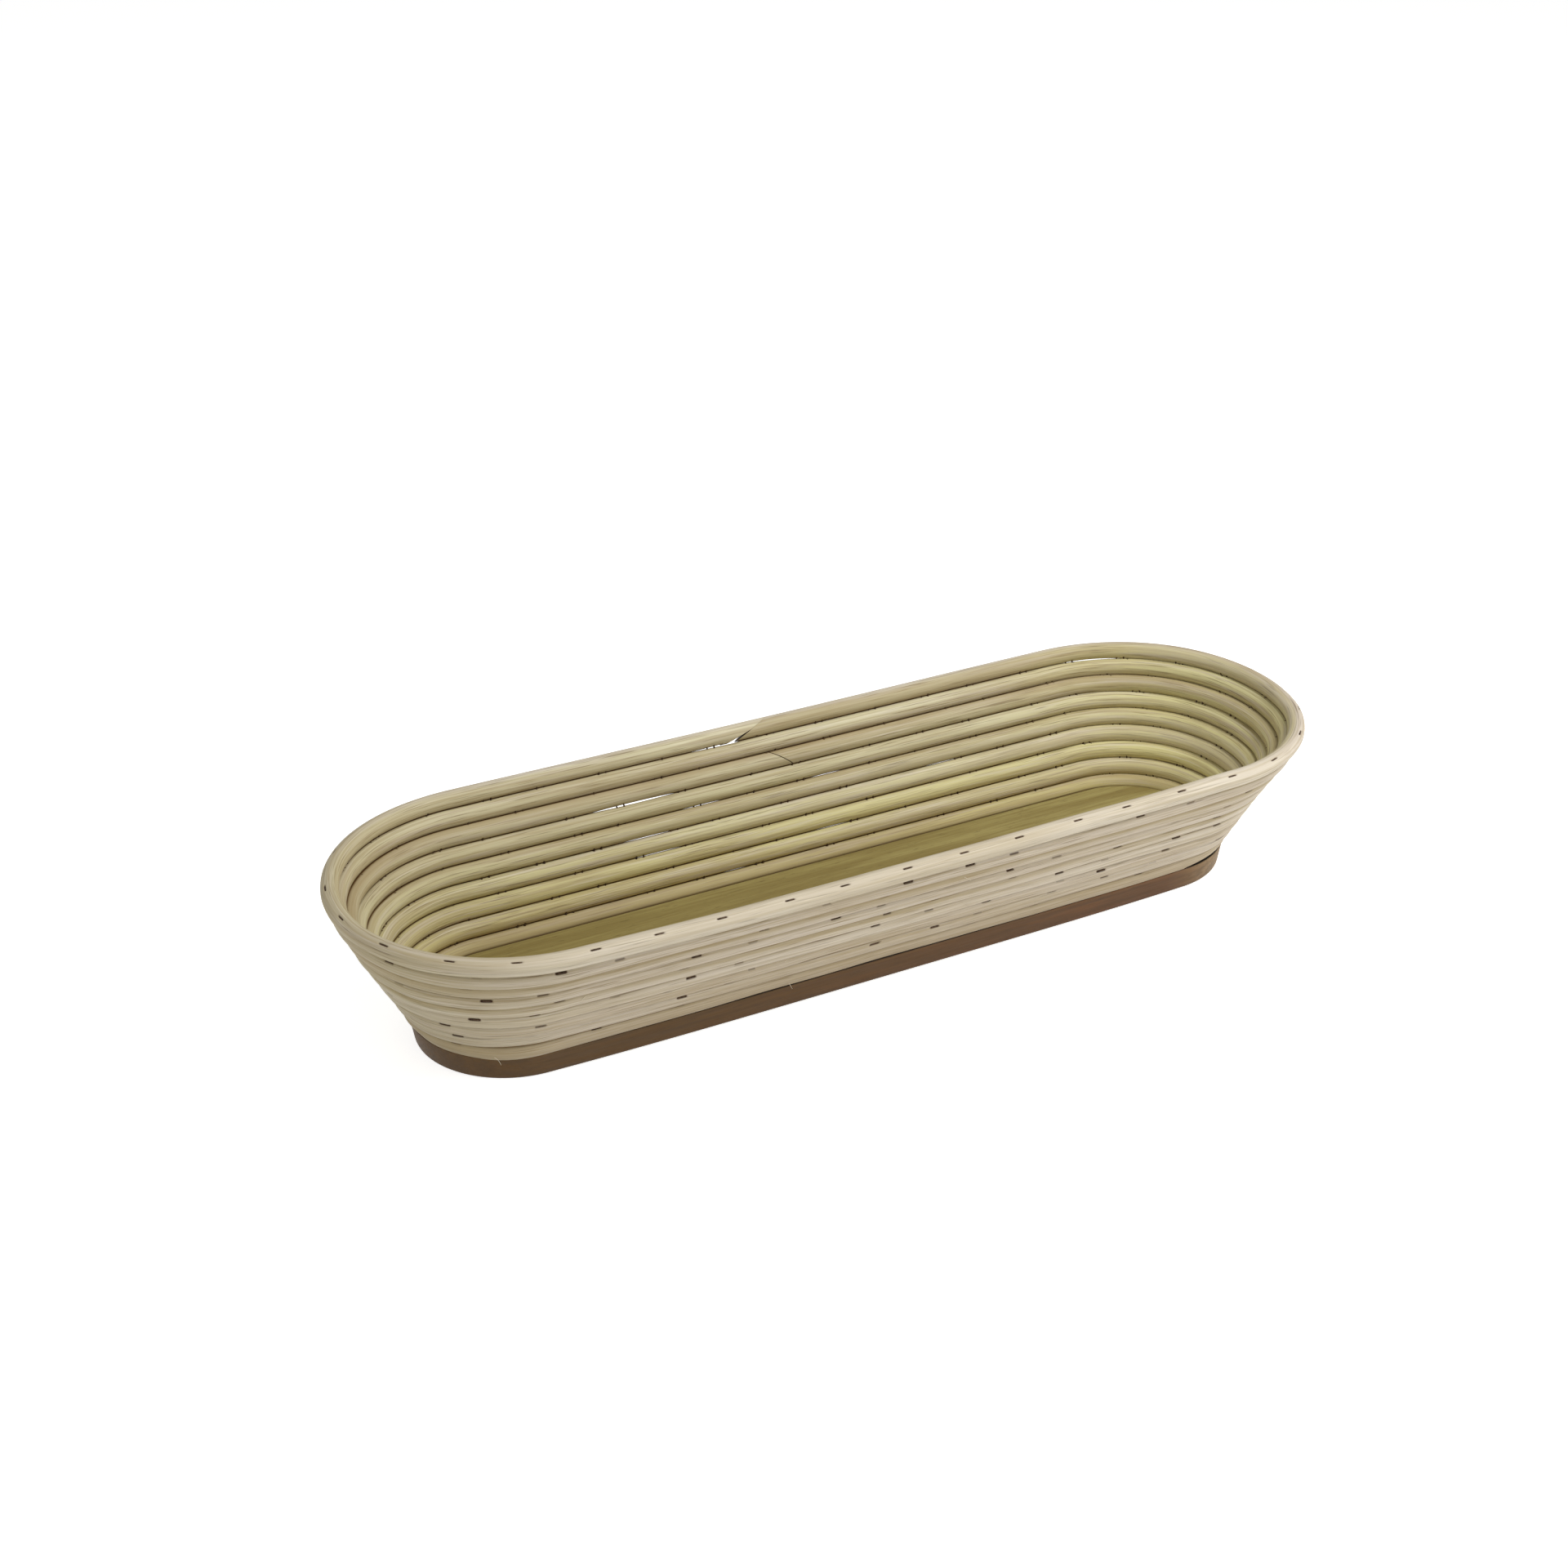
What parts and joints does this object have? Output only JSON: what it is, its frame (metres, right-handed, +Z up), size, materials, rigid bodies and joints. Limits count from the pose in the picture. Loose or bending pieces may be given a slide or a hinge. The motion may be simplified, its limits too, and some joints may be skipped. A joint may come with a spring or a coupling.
{
  "type": "proofing basket",
  "caption": "Long proofing basket for bread dough: stacked hoops of bent cane with slanted butt joints, stapled together on a stepped wooden base board, with sides that lean out.",
  "frame": {"origin": "on the table, under the middle of the base board", "axes": "+X along the basket, +Y across it towards the side with the rim's joint, +Z up"},
  "size_m": [0.479, 0.1612, 0.0781],
  "materials": {
    "base_wood": "bare brown wood, sanded, grain along the basket",
    "cane": "bare pale cane, fine dark fibres along its length",
    "staple_wire": "dull flat steel wire"
  },
  "bodies": {
    "root": {"base_board": "base_wood", "hoop_1": "cane", "hoop_2": "cane", "hoop_3": "cane", "hoop_4": "cane", "hoop_5": "cane", "hoop_6": "cane", "hoop_7": "cane", "hoop_8": "cane", "rim_hoop": "cane", "staples_1": "staple_wire", "staples_2": "staple_wire", "staples_3": "staple_wire", "staples_4": "staple_wire", "staples_5": "staple_wire", "staples_6": "staple_wire", "staples_7": "staple_wire", "staples_8": "staple_wire", "rim_staples": "staple_wire"}
  },
  "joints": []
}
